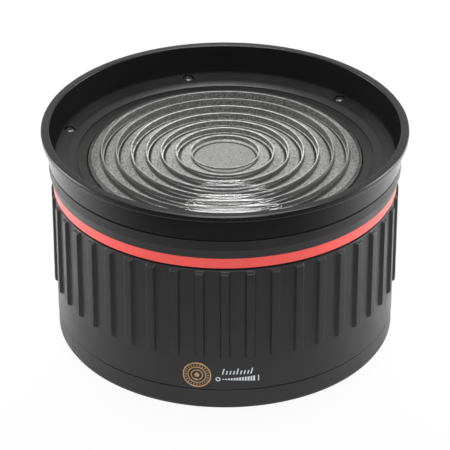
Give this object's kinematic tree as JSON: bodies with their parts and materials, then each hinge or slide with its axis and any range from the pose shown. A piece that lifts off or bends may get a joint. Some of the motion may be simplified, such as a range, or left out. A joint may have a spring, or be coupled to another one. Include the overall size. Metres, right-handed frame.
{
  "type": "fresnel lens attachment",
  "caption": "Round focusing fresnel attachment for a studio lamp: flared hood, stepped glass lens, red ring, ribbed focus ring that drives the lens forward, three-lug rear bayonet.",
  "frame": {"origin": "on the optical axis, in the plane of the bayonet's rear edge, which the part stands on", "axes": "+Z along the optical axis towards the lens and hood; -Y faces the roundel side"},
  "size_m": [0.2, 0.2, 0.133],
  "materials": {
    "housing_black": "satin black paint",
    "bell_black": "semi-gloss black paint",
    "grip_black": "fine-grained black plastic",
    "accent_red": "satin red anodised look",
    "black_anodised": "black anodised",
    "mount_metal": "bare machined aluminium",
    "screw_black": "black oxide",
    "pin_steel": "ground steel",
    "glide_white": "low-friction plastic",
    "bush_nylon": "nylon",
    "seal_felt": "black felt",
    "silicone_grey": "heat-proof silicone",
    "lens_glass": "pressed glass, stippled back",
    "badge_bronze": "bronze-coloured metal"
  },
  "bodies": {
    "housing": {"rear_plate": "housing_black", "bayonet_ring": "mount_metal", "bayonet_screws": "screw_black", "plate_screws": "screw_black", "base_ring": "housing_black", "guide_barrel": "black_anodised", "glide_rings": "glide_white", "felt_seal": "seal_felt", "collar_ring": "housing_black", "collar_screws": "screw_black", "red_ring": "accent_red"},
    "focus_ring": {"cam_sleeve": "black_anodised", "grip_sleeve": "grip_black", "grip_screws": "screw_black", "badge": "badge_bronze"},
    "lens_carriage": {"carriage_tube": "black_anodised", "tube_screws": "screw_black", "cam_pins": "pin_steel", "pin_bushes": "bush_nylon", "front_bell": "bell_black", "lens_seat_ring": "silicone_grey", "fresnel_lens": "lens_glass", "lens_gasket": "silicone_grey", "bezel_ring": "bell_black", "bezel_screws": "screw_black"}
  },
  "joints": [
    {"name": "focus_turn", "type": "hinge", "parent": "housing", "child": "focus_ring", "pos_m": [0, 0, 0.06], "axis": [0, 0, 1], "range_deg": [0, 90]},
    {"name": "carriage_slide", "type": "slide", "parent": "housing", "child": "lens_carriage", "axis": [0, 0, 1], "range_m": [0, 0.03]}
  ],
  "couplings": [
    {"joint": "carriage_slide", "follows": "focus_turn", "m_per_rad": 0.019099}
  ]
}
